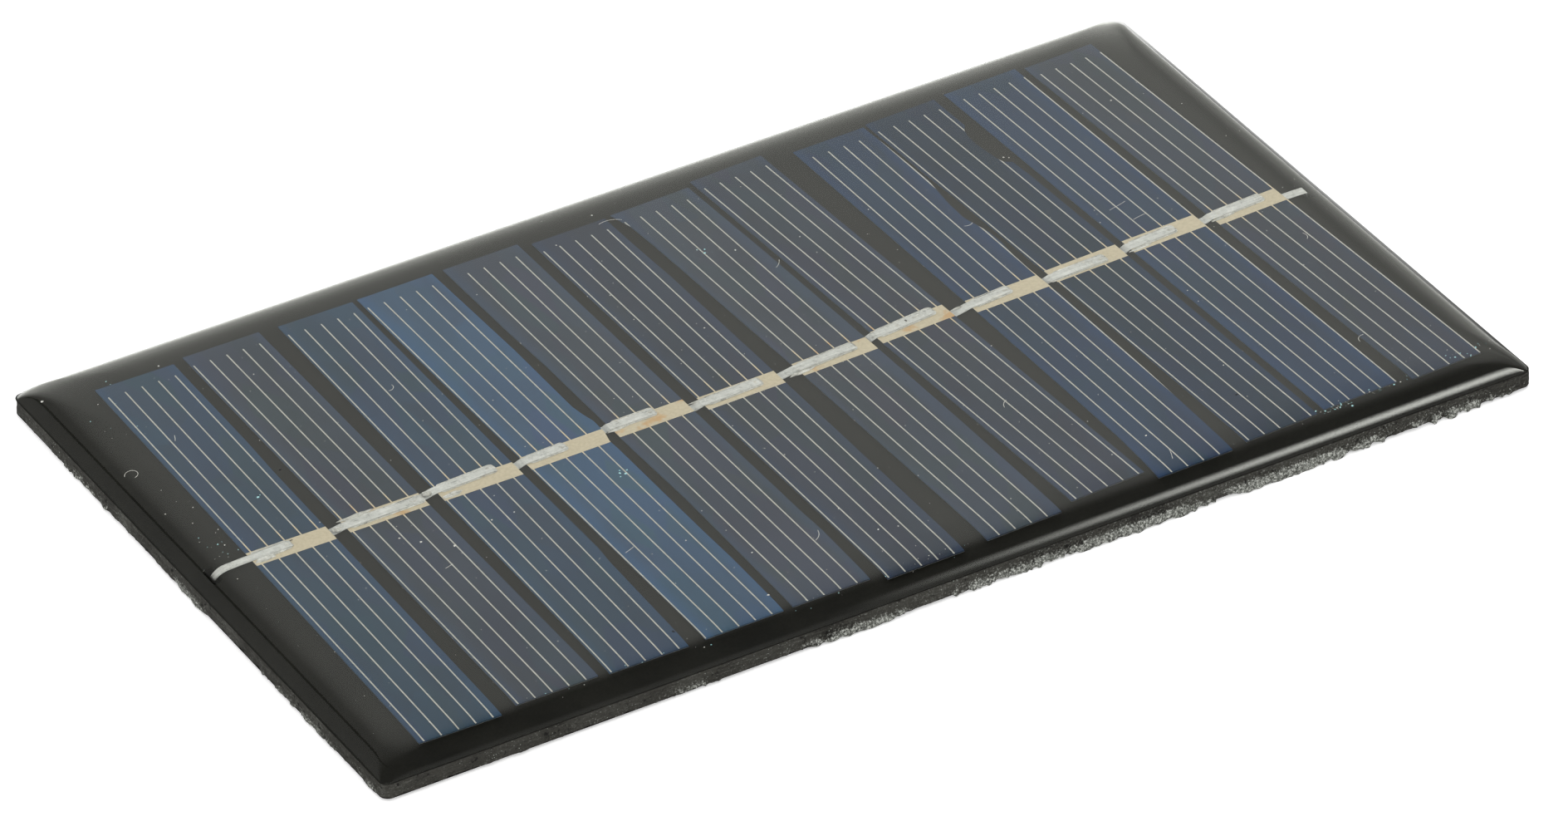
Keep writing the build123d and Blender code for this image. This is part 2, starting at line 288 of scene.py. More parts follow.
def mask_material():
    """Black solder mask with a faint weave under it and fine dust."""
    material, g = new_material("solder_mask_black")
    where = g.place()
    cloud = g.noise(7.0, where, detail=5.0)
    grain = g.noise(0.25, where, detail=2.0)
    shade = g.math("MULTIPLY_ADD", cloud, 0.6, g.math("MULTIPLY", grain, 0.4))
    colour = g.ramp(shade, [(0.3, (0.0066, 0.0064, 0.0050, 1)), (0.72, (0.0120, 0.0117, 0.0090, 1))])
    normal = g.bump(g.math("ADD", cloud, grain), 0.004)
    principled(g, colour, g.between(cloud, 0.2, 0.8, 0.45, 0.65), normal,
               Specular_IOR_Level=0.1)
    return material


def laminate_material():
    """The sawn glass-fibre edge: dark and gritty, greyer where it is dusty, pale where it frays."""
    material, g = new_material("sawn_laminate")
    where = g.place()
    layers = g.noise(0.5, g.place(stretch=(0.3, 0.3, 2.6)), detail=5.0, roughness=0.75)
    grit = g.noise(0.20, where, detail=5.0, roughness=0.75)
    fray = g.add("Attribute", {"attribute_name": "fray"}).outputs["Fac"]
    dust = g.add("Attribute", {"attribute_name": "dust"}).outputs["Fac"]
    shade = g.math("MULTIPLY_ADD", layers, 0.5, g.math("MULTIPLY_ADD", grit, 0.5, dust))
    body = g.ramp(shade, [(0.34, linear(24, 23, 20)), (0.52, linear(58, 57, 52)),
                          (0.78, linear(104, 105, 99)), (1.0, linear(150, 152, 145))])
    pale = g.ramp(grit, [(0.36, linear(40, 40, 37)), (0.50, linear(112, 114, 108)),
                         (0.62, linear(192, 194, 187))])
    amount = g.between(g.math("MULTIPLY_ADD", grit, 1.3, fray), 0.80, 1.25)
    glint = g.between(g.cells(0.30, where), 0.09, 0.16, 1.0, 0.0)
    glint = g.math("MULTIPLY", glint, g.between(g.noise(2.2, where), 0.42, 0.60))
    # Near-black spots: painted shade in the cavities of the sawn wall.
    cavity_shade = g.between(g.noise(0.75, where, detail=4.0), 0.30, 0.38, 0.85, 0.0)
    colour = g.blend(g.math("MULTIPLY", glint, 0.8), body, linear(178, 184, 176))
    colour = g.blend(amount, colour, pale)
    colour = g.blend(cavity_shade, colour, linear(16, 16, 14))
    normal = g.bump(g.math("ADD", grit, layers), 0.10)
    principled(g, colour, g.between(grit, 0.2, 0.8, 0.55, 0.9), normal, Specular_IOR_Level=0.25)
    return material


CELL_HALF_WIDTH = 3.75
CELL_RIM = 1.0
CELL_RIM_INSET = 0.1
CELL_RIM_AMOUNT = 0.55


def cell_material(number, tint, centre_x, tilt):
    """Blue-grey silicon with its clouds, faint crystal grains and fine speckle."""
    material, g = new_material(f"silicon_{number:02d}")
    turn = radians(-tilt)
    shift = (number * 37.0, number * 11.0, 0)
    where = g.place(shift=shift)
    base = linear(*tint)
    darker = tuple(c * 0.80 for c in base[:3]) + (1.0,)
    cloud = g.noise(9.0, g.place(stretch=(1, 0.45, 1), turn=turn, shift=shift), detail=5.0)
    grain = g.cells(2.6, g.place(stretch=(1, 0.35, 1), turn=turn, shift=shift), output="Color")
    speckle = g.noise(0.16, where, detail=2.0)
    colour = g.blend(g.between(cloud, 0.32, 0.62), darker, base)
    colour = g.blend(0.10, colour, grain, "SOFT_LIGHT")
    colour = g.blend(g.between(speckle, 0.3, 0.75, 0.0, 0.28), colour,
                     tuple(min(1, c * 1.5) for c in base[:3]) + (1.0,))
    apart = g.add("SeparateXYZ", None, {"Vector": g.add("TexCoord").outputs["Object"]}).outputs
    slant = g.math("MULTIPLY_ADD", apart["Y"], sin(radians(tilt)), -centre_x * MM)
    across = g.math("ABSOLUTE", g.math("ADD", apart["X"], slant))
    rim_end = CELL_HALF_WIDTH - CELL_RIM_INSET
    rim = g.between(across, (rim_end - CELL_RIM) * MM, rim_end * MM, 0.0, CELL_RIM_AMOUNT)
    blue = linear(tint[0] - 4, tint[1] + 4, tint[2] + 14)
    colour = g.blend(rim, colour, blue)
    normal = g.bump(speckle, 0.004)
    principled(g, colour, g.between(cloud, 0.2, 0.8, 0.42, 0.55), normal,
               Specular_IOR_Level=0.06)
    return material


def print_material(stained):
    """Fired silver paste: warm beige on the wide bar, greyer on the thin fingers."""
    name = "silver_paste_stained" if stained else "silver_paste"
    material, g = new_material(name)
    where = g.place()
    grit = g.noise(0.3, where, detail=4.0)
    patch = g.noise(2.2, where, detail=3.0)
    apart = g.add("SeparateXYZ", None, {"Vector": g.add("TexCoord").outputs["Object"]}).outputs
    off_bar = g.between(g.math("ABSOLUTE", apart["Y"]), 1.8 * MM, 2.4 * MM)
    bar = g.ramp(grit, [(0.2, linear(184, 172, 145)), (0.8, linear(199, 187, 160))])
    finger = g.ramp(grit, [(0.25, linear(154, 154, 146)), (0.7, linear(178, 178, 170))])
    colour = g.blend(off_bar, bar, finger)
    if stained:
        stain = g.math("MULTIPLY", g.between(patch, 0.54, 0.68), g.math("SUBTRACT", 1.0, off_bar))
        colour = g.blend(g.math("MULTIPLY", stain, 0.75), colour, linear(190, 146, 88))
    else:
        dull = g.between(patch, 0.58, 0.78, 0.0, 0.18)
        colour = g.blend(dull, colour, linear(160, 148, 126))
    principled(g, colour, 0.55, g.bump(grit, 0.004), Metallic=0.1)
    return material


def metal_material(name, dark, middle, bright, size, relief, metallic):
    """Tinned ribbon or solder: bright, uneven and dulled in patches."""
    material, g = new_material(name)
    where = g.place()
    lumps = g.noise(size, where, detail=4.0, roughness=0.6)
    grit = g.noise(size * 0.22, where, detail=3.0)
    streak = g.noise(0.5, g.place(stretch=(0.16, 2.6, 1)), detail=4.0)
    shade = g.math("MULTIPLY_ADD", streak, 0.4,
                   g.math("MULTIPLY_ADD", grit, 0.2, g.math("MULTIPLY", lumps, 0.4)))
    colour = g.ramp(shade, [(0.33, linear(*dark)), (0.47, linear(*middle)), (0.64, linear(*bright))])
    flux = g.between(g.noise(size * 3.1, where, detail=3.0), 0.60, 0.72, 0.0, 0.35)
    colour = g.blend(flux, colour, linear(196, 180, 150))
    principled(g, colour, g.between(lumps, 0.3, 0.7, 0.20, 0.5),
               g.bump(g.math("MULTIPLY_ADD", grit, 0.4, lumps), relief), Metallic=metallic)
    return material


PLAIN_RELIEF = 0.01


def plain_material(name, low, high, size, roughness, metallic=0.0):
    """A two-tone mottled finish for the parts that show only from below or through the resin."""
    material, g = new_material(name)
    where = g.place()
    patch = g.noise(size, where, detail=5.0, roughness=0.62)
    fine = g.noise(size * 0.1, where, detail=2.0)
    shade = g.math("MULTIPLY_ADD", fine, 0.4, g.math("MULTIPLY", patch, 0.6))
    colour = g.ramp(shade, [(0.32, linear(*low)), (0.66, linear(*high))])
    principled(g, colour, g.between(patch, 0.25, 0.75, roughness * 0.75, roughness * 1.2),
               g.bump(shade, PLAIN_RELIEF), Metallic=metallic)
    return material


# ---- The resin dome ----

def resin_ring(inset, steps_x=76, steps_y=48, corner_steps=12):
    """The resin's outline moved inwards, with corners that open out as it goes."""
    return rounded_rectangle(RESIN_HIGH.x + RESIN_GROW - inset, RESIN_HIGH.y + RESIN_GROW - inset,
                             RESIN_CORNER + RESIN_CORNER_GROWTH * inset,
                             steps_x, steps_y, corner_steps)


def resin_level(inset):
    """The height of the dome's surface at an inset from its foot, as surface tension draws it."""
    return RESIN_TOP - (RESIN_TOP - MASK_TOP) * exp(-inset / RIM_REACH)


def resin_inset(x, y):
    """How far in from the outline a point lies, along the same rings as the mesh."""
    low, high = 0.0, 9.0
    for _ in range(24):
        middle = (low + high) / 2
        radius = RESIN_CORNER + RESIN_CORNER_GROWTH * middle
        over_x = abs(x) - (RESIN_HIGH.x + RESIN_GROW - middle - radius)
        over_y = abs(y) - (RESIN_HIGH.y + RESIN_GROW - middle - radius)
        outside = hypot(max(over_x, 0), max(over_y, 0)) + min(max(over_x, over_y), 0) - radius
        low, high = (low, middle) if outside > 0 else (middle, high)
    return low


def resin_surface(x, y):
    return resin_level(resin_inset(x, y))


def make_resin(material):
    """A closed dome with a rounded rim, whose underside sinks just into the mask."""
    build = bmesh.new()
    steps = 26
    insets = [RIM_WIDTH * (k / steps) ** 1.35 for k in range(steps + 1)]
    foot = [build.verts.new((*p, MASK_TOP - EMBED)) for p, _ in resin_ring(0)]
    rings = [foot]
    for inset in insets:
        level = resin_level(inset)
        rings.append([build.verts.new((*p, level)) for p, _ in resin_ring(inset)])
    for low, high in zip(rings, rings[1:]):
        for face in join_rings(low, high):
            build.faces.new(face)
    build.faces.new(rings[-1])
    plugs = []
    for side in (-1, 1):
        outline = slot_outline(side)
        upper = [build.verts.new((x, y, MASK_TOP - EMBED)) for x, y in outline]
        lower = [build.verts.new((x, y, SLOT_FLOOR + EMBED)) for x, y in outline]
        for face in join_rings(lower, upper):
            build.faces.new(face)
        build.faces.new(lower)
        plugs.append(upper)
    fill_with_holes(build, foot, plugs)
    piece = piece_from_build("resin_coat", build, [material])
    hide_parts("resin_dome")
    return piece


# ---- The board's sawn body ----

def fringe_amount(x, y):
    """How much pale fibre hangs from the sawn rim: most on the right part of the front edge."""
    front = smooth_step(-34.0, -34.9, y) * (0.30 + 0.70 * smooth_step(-38, 16, x))
    front *= 1 - 0.55 * smooth_step(51, 54, x)
    corner = 0.7 * smooth_step(9, 3, hypot(x - 57.5, y + 35))
    left = 0.42 * smooth_step(-56.5, -57.4, x)
    return min(1.0, max(front, corner, left, 0.15))


def dust_amount(x, y):
    """How grey the wall is: dark all round, a little dustier at the back and ends."""
    left = 0.04 * smooth_step(-56.9, -57.4, x)
    right = 0.05 * smooth_step(56.9, 57.4, x)
    return max(left, right, 0.08 * smooth_step(34.4, 34.9, y)) + 0.10 * rough(x, y, 0, 4.0, 8)


def make_board(material):
    """The laminate core with a rough sawn wall, and fibres that hang from its lower rim."""
    build = bmesh.new()
    fray = build.verts.layers.float.new("fray")
    dust = build.verts.layers.float.new("dust")
    step_x = int(2 * BOARD_HIGH.x / EDGE_STEP)
    step_y = int(2 * BOARD_HIGH.y / EDGE_STEP)
    ring = rounded_rectangle(BOARD_HIGH.x, BOARD_HIGH.y, BOARD_CORNER, step_x, step_y, 8)
    bottom, top = BOARD_LOW.z, BOARD_HIGH.z
    rings = []
    for level in range(EDGE_LEVELS + 1):
        share = (level / EDGE_LEVELS) ** 1.3
        z = bottom + (top - bottom) * share
        row = []
        for point, normal in ring:
            x, y = point
            fringe = fringe_amount(x, y)
            out = EDGE_ROUGHNESS * (rough(x, y, z, 0.9, 1) + 0.7 * rough(x, y, z, 0.35, 2))
            out += 0.10 * rough(x, y, z * 0.4, 7.0, 3)
            lump = 1.3 * rough(x, y, 0, 6.0, 4) + 0.5 * rough(x, y, z, 0.9, 5)
            lump += 0.35 * rough(x, y, z, 0.4, 9) + 0.75 * (fringe - 0.5)
            clump = smooth_step(0.0, 0.60, lump)
            low_down = smooth_step(0.62, 0.10, share)
            out += FRINGE_DEPTH * fringe * clump * low_down
            hang = fringe * clump * smooth_step(0.30, 0.0, share)
            drop = FRINGE_DROP * hang * (0.55 + 0.6 * rough(x, y, 3, 0.7, 6))
            keep = smooth_step(0, 0.12, 1 - share)
            vert = build.verts.new((x + normal.x * out * keep, y + normal.y * out * keep,
                                    max(z - drop, 0.02)))
            vert[fray] = min(1.0, fringe * (0.12 + 0.95 * clump * low_down))
            vert[dust] = dust_amount(x, y)
            row.append(vert)
        rings.append(row)
    for low, high in zip(rings, rings[1:]):
        for face in join_rings(low, high):
            build.faces.new(face)
    underside = [build.verts.new((*(p - 0.5 * n), bottom + EMBED)) for p, n in ring]
    for face in join_rings(underside, rings[0]):
        build.faces.new(face)
    build.faces.new(list(reversed(underside)))
    wells = []
    for side in (-1, 1):
        outline = slot_outline(side)
        upper = [build.verts.new((x, y, top)) for x, y in outline]
        lower = [build.verts.new((x, y, SLOT_FLOOR)) for x, y in outline]
        for face in join_rings(lower, upper):
            build.faces.new(face)
        build.faces.new(lower)
        wells.append(upper)
    fill_with_holes(build, rings[-1], wells)
    piece = piece_from_build("board_core", build, [material], smooth=True)
    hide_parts("substrate")
    return piece


# ---- The lead that bends down into the left slot, and spread solder ----

LEAD_START = (-47.9, -0.25)
LEAD_TURN_X = -54.35
LEAD_Y = -0.42
LEAD_WIDTH = 0.95
LEAD_THICK = 0.12
LEAD_RADIUS = 1.05


def make_lead(material):
    """The first ribbon: flat over the strip, then curving down into the slot."""
    start = Vector((*LEAD_START, RIBBON_TOP))
    turn = Vector((LEAD_TURN_X, LEAD_Y, RIBBON_TOP - 0.06))
    path = [(start.lerp(turn, k / 24), 0.0) for k in range(25)]
    centre_z = turn.z - LEAD_RADIUS
    for k in range(1, 13):
        angle = radians(84 * k / 12)
        path.append((Vector((turn.x - LEAD_RADIUS * sin(angle), turn.y,
                             centre_z + LEAD_RADIUS * cos(angle))), angle))
    build = bmesh.new()
    rings = []
    across = 8
    for count, (point, angle) in enumerate(path):
        up = Vector((-sin(angle), 0, cos(angle)))
        wave = 0.03 * rough(point.x, 0, point.z, 1.3, 11)
        half = LEAD_WIDTH / 2 * (1 - 0.16 * smooth_step(0, 1.4, angle))
        ring = []
        for k in range(across + 1):
            place = -1 + 2 * k / across
            crown = 0.03 * (1 - place * place) + 0.02 * rough(point.x * 0.4, place * 2, 0, 0.5, 12)
            ring.append(build.verts.new(point + Vector((0, place * half + wave, 0)) + up * (crown - 0.03)))
        for k in range(across, -1, -1):
            place = -1 + 2 * k / across
            ring.append(build.verts.new(point + Vector((0, place * half * 0.97 + wave, 0))
                                        - up * LEAD_THICK))
        rings.append(ring)
    for low, high in zip(rings, rings[1:]):
        for face in join_rings(low, high):
            build.faces.new(face)
    build.faces.new(rings[0])
    build.faces.new(list(reversed(rings[-1])))
    piece = piece_from_build("lead_negative", build, [material])
    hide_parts("ribbon_01")


# Where solder ran out beside a ribbon: middle x and y, half length, half width, turn and height
SOLDER_SPREAD = [
    (-50.9, -1.12, 1.05, 0.38, 3, 0.07), (-49.5, -0.84, 1.30, 0.20, 3, 0.08),
    (-48.3, -0.30, 0.45, 0.42, 0, 0.17), (-41.3, 0.42, 1.75, 0.26, 3, 0.08),
    (-43.6, -0.55, 0.5, 0.42, 0, 0.14), (-36.0, -0.35, 0.8, 0.34, 0, 0.17),
    (-32.6, -1.30, 1.00, 0.34, 4, 0.07), (-34.4, 0.02, 0.5, 0.42, 0, 0.15),
    (-28.0, 0.42, 0.6, 0.40, 0, 0.16), (-21.1, -0.12, 0.45, 0.45, 0, 0.17),
    (-15.4, -0.26, 1.25, 0.22, 3, 0.07), (-12.0, 0.40, 0.55, 0.42, 0, 0.17),
    (-7.2, -0.28, 1.20, 0.13, 4, 0.07), (-1.7, -0.60, 0.45, 0.36, 0, 0.17),
    (2.5, -1.34, 1.35, 0.30, 4, 0.07), (8.0, -0.25, 0.5, 0.36, 0, 0.17),
    (13.3, 0.42, 0.5, 0.42, 8, 0.17), (15.6, 0.75, 1.1, 0.40, 4, 0.17),
    (19.4, -0.05, 0.9, 0.14, 4, 0.07), (24.2, 0.02, 0.5, 0.38, 0, 0.17),
    (29.2, -0.95, 1.1, 0.22, 3, 0.07), (34.0, -0.25, 0.45, 0.40, 0, 0.17),
    (38.0, -0.62, 1.2, 0.20, 3, 0.07), (41.8, 0.45, 0.45, 0.40, 0, 0.17),
    (46.8, -0.42, 1.2, 0.22, 3, 0.07), (51.0, 0.52, 0.5, 0.42, 0, 0.17),
]
# Dark mounds beside the ribbons: thin strips of painted shadow along their edges and at the first ribbon's
# end, and one wider dark patch
RIBBON_SHADE_MARKS = [
    (14.35, 0.62, 0.22, 0.50, 12, 0.165), (-47.9, 0.12, 0.35, 0.05, 4, 0.15),
    (-36.9, 0.12, 1.9, 0.045, 4, 0.15), (-5.3, -0.28, 1.6, 0.04, 5, 0.15),
    (-13.4, 0.86, 1.1, 0.04, 3, 0.15), (22.4, 0.42, 1.4, 0.045, 5, 0.15),
]


def add_mound(build, spot, seed):
    """A low lump with a ragged outline, sunk a little into what it lies on."""
    x, y, half_length, half_width, turn, height = spot
    spokes, rings = 30, 5
    base = PRINT_TOP - EMBED
    rows = []
    for ring in range(rings + 1):
        share = 1 - ring / (rings + 0.6)
        row = []
        for k in range(spokes):
            angle = 2 * pi * k / spokes
            ragged = 1 + 0.28 * rough(cos(angle) * 2, sin(angle) * 2, seed, 0.8, seed)
            reach = share * ragged
            flat = Vector((half_length * reach * cos(angle), half_width * reach * sin(angle)))
            flat.rotate(Matrix.Rotation(radians(turn), 2))
            lumpy = 1 + 0.55 * rough(x + flat.x, y + flat.y, 0, 0.35, seed)
            level = base + height * (1 - share ** 3) * lumpy
            row.append(build.verts.new((x + flat.x, y + flat.y, level)))
        rows.append(row)
    faces = [build.faces.new(list(reversed(rows[0]))), build.faces.new(rows[-1])]
    for low, high in zip(rows, rows[1:]):
        faces += [build.faces.new(face) for face in join_rings(low, high)]
    return faces


def make_solder_spread(material):
    build = bmesh.new()
    for seed, spot in enumerate(SOLDER_SPREAD, 3):
        add_mound(build, spot, seed)
    piece_from_build("solder_spread", build, [material])
    # Dark mounds, mostly painted shadow along the ribbon edges.
    build = bmesh.new()
    for seed, spot in enumerate(RIBBON_SHADE_MARKS, 50):
        add_mound(build, spot, seed)
    shade_marks = plain_material("ribbon_shade_marks", (30, 29, 26), (84, 80, 72), 0.4, 0.5)
    piece_from_build("ribbon_shade_marks", build, [shade_marks])


# ---- Dust, crumbs and hairs on the resin ----

# Larger specks: x, y and radius
PALE_SPECKS = [
    (-45.3, 30.0, 0.14), (-38.8, 24.2, 0.11), (-40.0, -5.4, 0.16), (-38.7, -6.9, 0.17),
    (-36.5, -9.0, 0.20), (-36.5, -10.3, 0.08), (-31.9, -7.3, 0.12), (-29.7, -7.3, 0.10),
    (-19.3, -19.2, 0.11), (-17.4, -30.2, 0.16), (-6.2, 27.8, 0.11), (-6.1, 18.0, 0.11),
    (-5.8, -22.2, 0.12), (-4.5, -26.8, 0.14), (-2.8, -27.3, 0.11), (-15.4, -23.9, 0.10),
    (-1.6, 8.8, 0.12), (-1.1, 30.4, 0.14), (6.95, 18.3, 0.13), (18.3, -7.6, 0.12),
    (22.4, -27.1, 0.14), (33.9, -21.4, 0.10), (35.0, 18.3, 0.16), (35.4, 18.0, 0.10),
    (48.2, 21.2, 0.14), (-55.3, 9.2, 0.10), (-54.0, 6.5, 0.09), (-53.2, 2.0, 0.11),
    (-53.9, -0.9, 0.13), (-52.6, 4.4, 0.09), (-54.6, -3.1, 0.08), (-56.3, 31.2, 0.20),
    (-52.6, 27.5, 0.08), (-52.9, 8.6, 0.10),
]
TEAL_SPECKS = [
    (-47.4, 6.9, 0.17), (-47.1, 7.1, 0.09), (-19.1, -7.1, 0.17), (-18.7, -7.4, 0.19),
    (-18.9, -6.7, 0.12), (-18.3, -7.0, 0.13), (-19.3, -7.6, 0.10), (4.4, 19.4, 0.15),
    (4.7, 19.9, 0.12), (4.1, 20.2, 0.10), (36.9, -31.9, 0.12), (37.6, -32.3, 0.15),
    (38.5, -32.5, 0.12), (39.3, -32.2, 0.13), (40.1, -32.8, 0.16), (44.9, -32.1, 0.14),
    (51.7, -31.4, 0.13), (53.0, -31.9, 0.11), (54.1, -31.0, 0.14),
]
DARK_SPECKS = [(-26.9, -30.5, 0.26), (32.4, -26.0, 0.18), (-43.8, 9.6, 0.15), (-55.0, 20.2, 0.14)]
# Hairs: x, y, length, heading in degrees and how far they curl in degrees
HAIRS = [
    (-55.0, 15.6, 2.6, 15, 250), (-1.3, 28.7, 2.3, 20, -70), (-9.9, -25.3, 1.6, 25, 60),
    (38.5, 5.5, 2.0, 12, 5), (39.5, 3.0, 1.5, 14, -8), (22.5, -31.4, 1.4, 65, 10),
    (46.0, -24.8, 1.3, 95, -110), (-30.0, 15.3, 1.2, -10, 120), (-38.8, -11.6, 0.9, 15, 5),
    (-24.6, -18.0, 1.1, 18, 10), (8.6, 13.8, 1.3, 30, 40), (26.2, 10.4, 1.0, -30, 80),
    (-49.5, 18.6, 0.9, 60, 15), (14.3, -16.6, 1.2, 80, -60), (50.9, -8.2, 1.1, 40, 90),
]
FINE_SPECKS = 650
# Clusters of crumbs: middle x and y, half length, half width and count
CLUSTERS = [(38.6, -32.3, 1.7, 0.35, 30), (45.0, -31.9, 2.6, 0.4, 14), (53.5, -31.0, 2.4, 0.8, 14),
            (4.4, 19.7, 0.7, 0.6, 9), (-53.6, 1.5, 1.3, 3.0, 16), (-50.0, 26.0, 4.5, 4.5, 12),
            (-20.0, -33.0, 22.0, 0.6, 26)]
SPECK_HEIGHT = 0.06
SPECK_SCALE = 0.8
HAIR_THICK = 0.022
DUST_SEED = 41
DUST_REACH_X, DUST_REACH_Y = 55.5, 33.0


def add_speck(build, x, y, radius, draw):
    """A crumb: a flat irregular lump that sits on the resin."""
    level = resin_surface(x, y) - EMBED
    tall = min(radius * 0.45, SPECK_HEIGHT) + EMBED
    low, high = [], []
    for k in range(6):
        angle = pi * k / 3 + draw.uniform(-0.3, 0.3)
        reach = radius * draw.uniform(0.55, 1.25)
        low.append(build.verts.new((x + reach * cos(angle), y + 0.8 * reach * sin(angle), level)))
        high.append(build.verts.new((x + 0.5 * reach * cos(angle), y + 0.4 * reach * sin(angle),
                                     level + tall * draw.uniform(0.7, 1.1))))
    build.faces.new(list(reversed(low)))
    build.faces.new(high)
    for face in join_rings(low, high):
        build.faces.new(face)


def add_hair(build, x, y, length, heading, curl):
    """A fine fibre with a square section, lying in an arc on the resin."""
    steps = 14
    rings = []
    for k in range(steps + 1):
        angle = radians(heading + curl * k / steps)
        side = Vector((-sin(angle), cos(angle), 0)) * HAIR_THICK
        centre = Vector((x, y, resin_surface(x, y) + HAIR_THICK * 0.6))
        up = Vector((0, 0, HAIR_THICK))
        rings.append([build.verts.new(centre + way) for way in (side, up, -side, -up)])
        x += length / steps * cos(angle)
        y += length / steps * sin(angle)
    for low, high in zip(rings, rings[1:]):
        for face in join_rings(low, high):
            build.faces.new(face)
    build.faces.new(rings[0])
    build.faces.new(list(reversed(rings[-1])))


def make_dust():
    """What has settled on the resin: crumbs in three shades, hairs and fine dust."""
    draw = Random(DUST_SEED)
    shades = {
        "dust_pale": (plain_material("dust_pale", (170, 168, 158), (226, 226, 218), 0.2, 0.8),
                      PALE_SPECKS),
        "dust_teal": (plain_material("dust_teal", (120, 186, 190), (198, 236, 236), 0.2, 0.7),
                      TEAL_SPECKS),
        "dust_dark": (plain_material("dust_dark", (22, 22, 24), (58, 58, 60), 0.2, 0.8),
                      DARK_SPECKS),
    }
    for name, (material, specks) in shades.items():
        build = bmesh.new()
        for x, y, radius in specks:
            add_speck(build, x, y, radius * SPECK_SCALE, draw)
        if name == "dust_pale":
            for _ in range(FINE_SPECKS):
                x = draw.uniform(-DUST_REACH_X, DUST_REACH_X)
                y = DUST_REACH_Y - 2 * DUST_REACH_Y * draw.random() ** 0.8
                add_speck(build, x, y, 0.022 + 0.045 * draw.random() ** 3, draw)
            for hair in HAIRS:
                add_hair(build, *hair)
        if name != "dust_dark":
            for x, y, half_length, half_width, count in CLUSTERS:
                for _ in range(count // 2):
                    add_speck(build, x + draw.uniform(-half_length, half_length),
                              y + draw.uniform(-half_width, half_width),
                              0.03 + 0.05 * draw.random() ** 2, draw)
        piece_from_build(name, build, [material], smooth=False)


# ---- Camera, floor and light ----

CAMERA_AZIMUTH = -28.4
CAMERA_ELEVATION = 34.0
CAMERA_ROLL = -2.6
CAMERA_DISTANCE = 950.0
CAMERA_TARGET = (-1.5, -5.1)
CAMERA_LENS = 247.8
SENSOR_WIDTH = 36.0


def make_camera():
    """The photograph's viewpoint: a long lens, high on the front left."""
    turn, rise, roll = (radians(a) for a in (CAMERA_AZIMUTH, CAMERA_ELEVATION, CAMERA_ROLL))
    back = Vector((sin(turn) * cos(rise), -cos(turn) * cos(rise), sin(rise)))
    across = Vector((0, 0, 1)).cross(back).normalized()
    up = back.cross(across)
    right = cos(roll) * across + sin(roll) * up
    above = cos(roll) * up - sin(roll) * across
    where = Vector((*CAMERA_TARGET, MASK_TOP)) + CAMERA_DISTANCE * back
    data = bpy.data.cameras.new("camera")
    data.lens = CAMERA_LENS
    data.sensor_width = SENSOR_WIDTH
    data.clip_start, data.clip_end = 0.01, 20
    camera = bpy.data.objects.new("camera", data)
    camera.matrix_world = Matrix.Translation(where * MM) @ Matrix(
        (right, above, back)).transposed().to_4x4()
    bpy.context.scene.collection.objects.link(camera)
    bpy.context.scene.camera = camera


FLOOR_SIZE = 6.0
FLOOR_GLOW = 0.38
# What the resin's mirror sees of the floor, by place in metres
MIRROR_SLANT = -0.8
MIRROR_NEAR, MIRROR_FAR = 0.8, 3.2
MIRROR_EDGE = (-0.02, 0.0)
MIRROR_LEFT = (-0.060, -0.050)
MIRROR_FRONT = (-0.035, 0.01)


def make_floor():
    """A plain pale floor.  In the resin's mirror it's bright behind the panel and dim in front."""
    material, g = new_material("floor_white")
    paper = g.noise(0.8, g.place(), detail=4.0)
    colour = g.ramp(paper, [(0.3, (0.90, 0.90, 0.895, 1)), (0.7, (0.93, 0.93, 0.925, 1))])
    diffuse = g.add("BsdfDiffuse", None, {"Color": colour, "Roughness": 0.5}).outputs[0]
    glowing = g.add("Emission", None, {"Color": (1, 1, 1, 1), "Strength": FLOOR_GLOW}).outputs[0]
    diffuse = g.add("AddShader", None, {0: diffuse, 1: glowing}).outputs[0]
    apart = g.add("SeparateXYZ", None, {"Vector": g.add("TexCoord").outputs["Object"]}).outputs
    behind = g.math("MULTIPLY_ADD", apart["X"], MIRROR_SLANT, apart["Y"])
    glow = g.between(behind, *MIRROR_EDGE, MIRROR_NEAR, MIRROR_FAR)
    glow = g.math("MULTIPLY", glow, g.between(apart["X"], *MIRROR_LEFT, 0.05, 1.0))
    glow = g.math("MULTIPLY", glow, g.between(apart["Y"], *MIRROR_FRONT, 0.08, 1.0))
    shine = g.add("Emission", None, {"Color": (1, 1, 1, 1), "Strength": glow}).outputs[0]
    mirrored = g.add("LightPath").outputs["Is Glossy Ray"]
    g.surface(g.add("MixShader", None, {0: mirrored, 1: diffuse, 2: shine}).outputs[0])
    half = FLOOR_SIZE / 2
    mesh = bpy.data.meshes.new("floor")
    mesh.from_pydata([(-half, -half, 0), (half, -half, 0), (half, half, 0), (-half, half, 0)],
                     [], [(0, 1, 2, 3)])
    mesh.materials.append(material)
    floor = bpy.data.objects.new("floor", mesh)
    bpy.context.scene.collection.objects.link(floor)


MIRROR_TONE = (1.0, 1.01, 0.955, 1.0)
# How bright the mirrored back wall is at each height, 0 at the horizon and 1 overhead
BACK_WALL = [(0.0, 6.0), (0.10, 5.2), (0.20, 3.8), (0.28, 3.2), (0.39, 2.7), (0.50, 1.4),
             (0.58, 0.68), (0.68, 0.58), (0.78, 0.24), (0.88, 0.02), (1.0, 0.0)]
FAR_RIGHT_DIMMING = -0.62
LAMP_HEIGHT = 0.635
LAMP_REACH = 0.19
LAMP_STRENGTH = 10.5
BEAM_ASIDE = 0.36
BEAM_HALF_WIDTH = (0.03, 0.07)
SOFT_LIGHT = 1.19
SOFT_RIGHTWARD, SOFT_BACKWARD = 0.10, 0.12


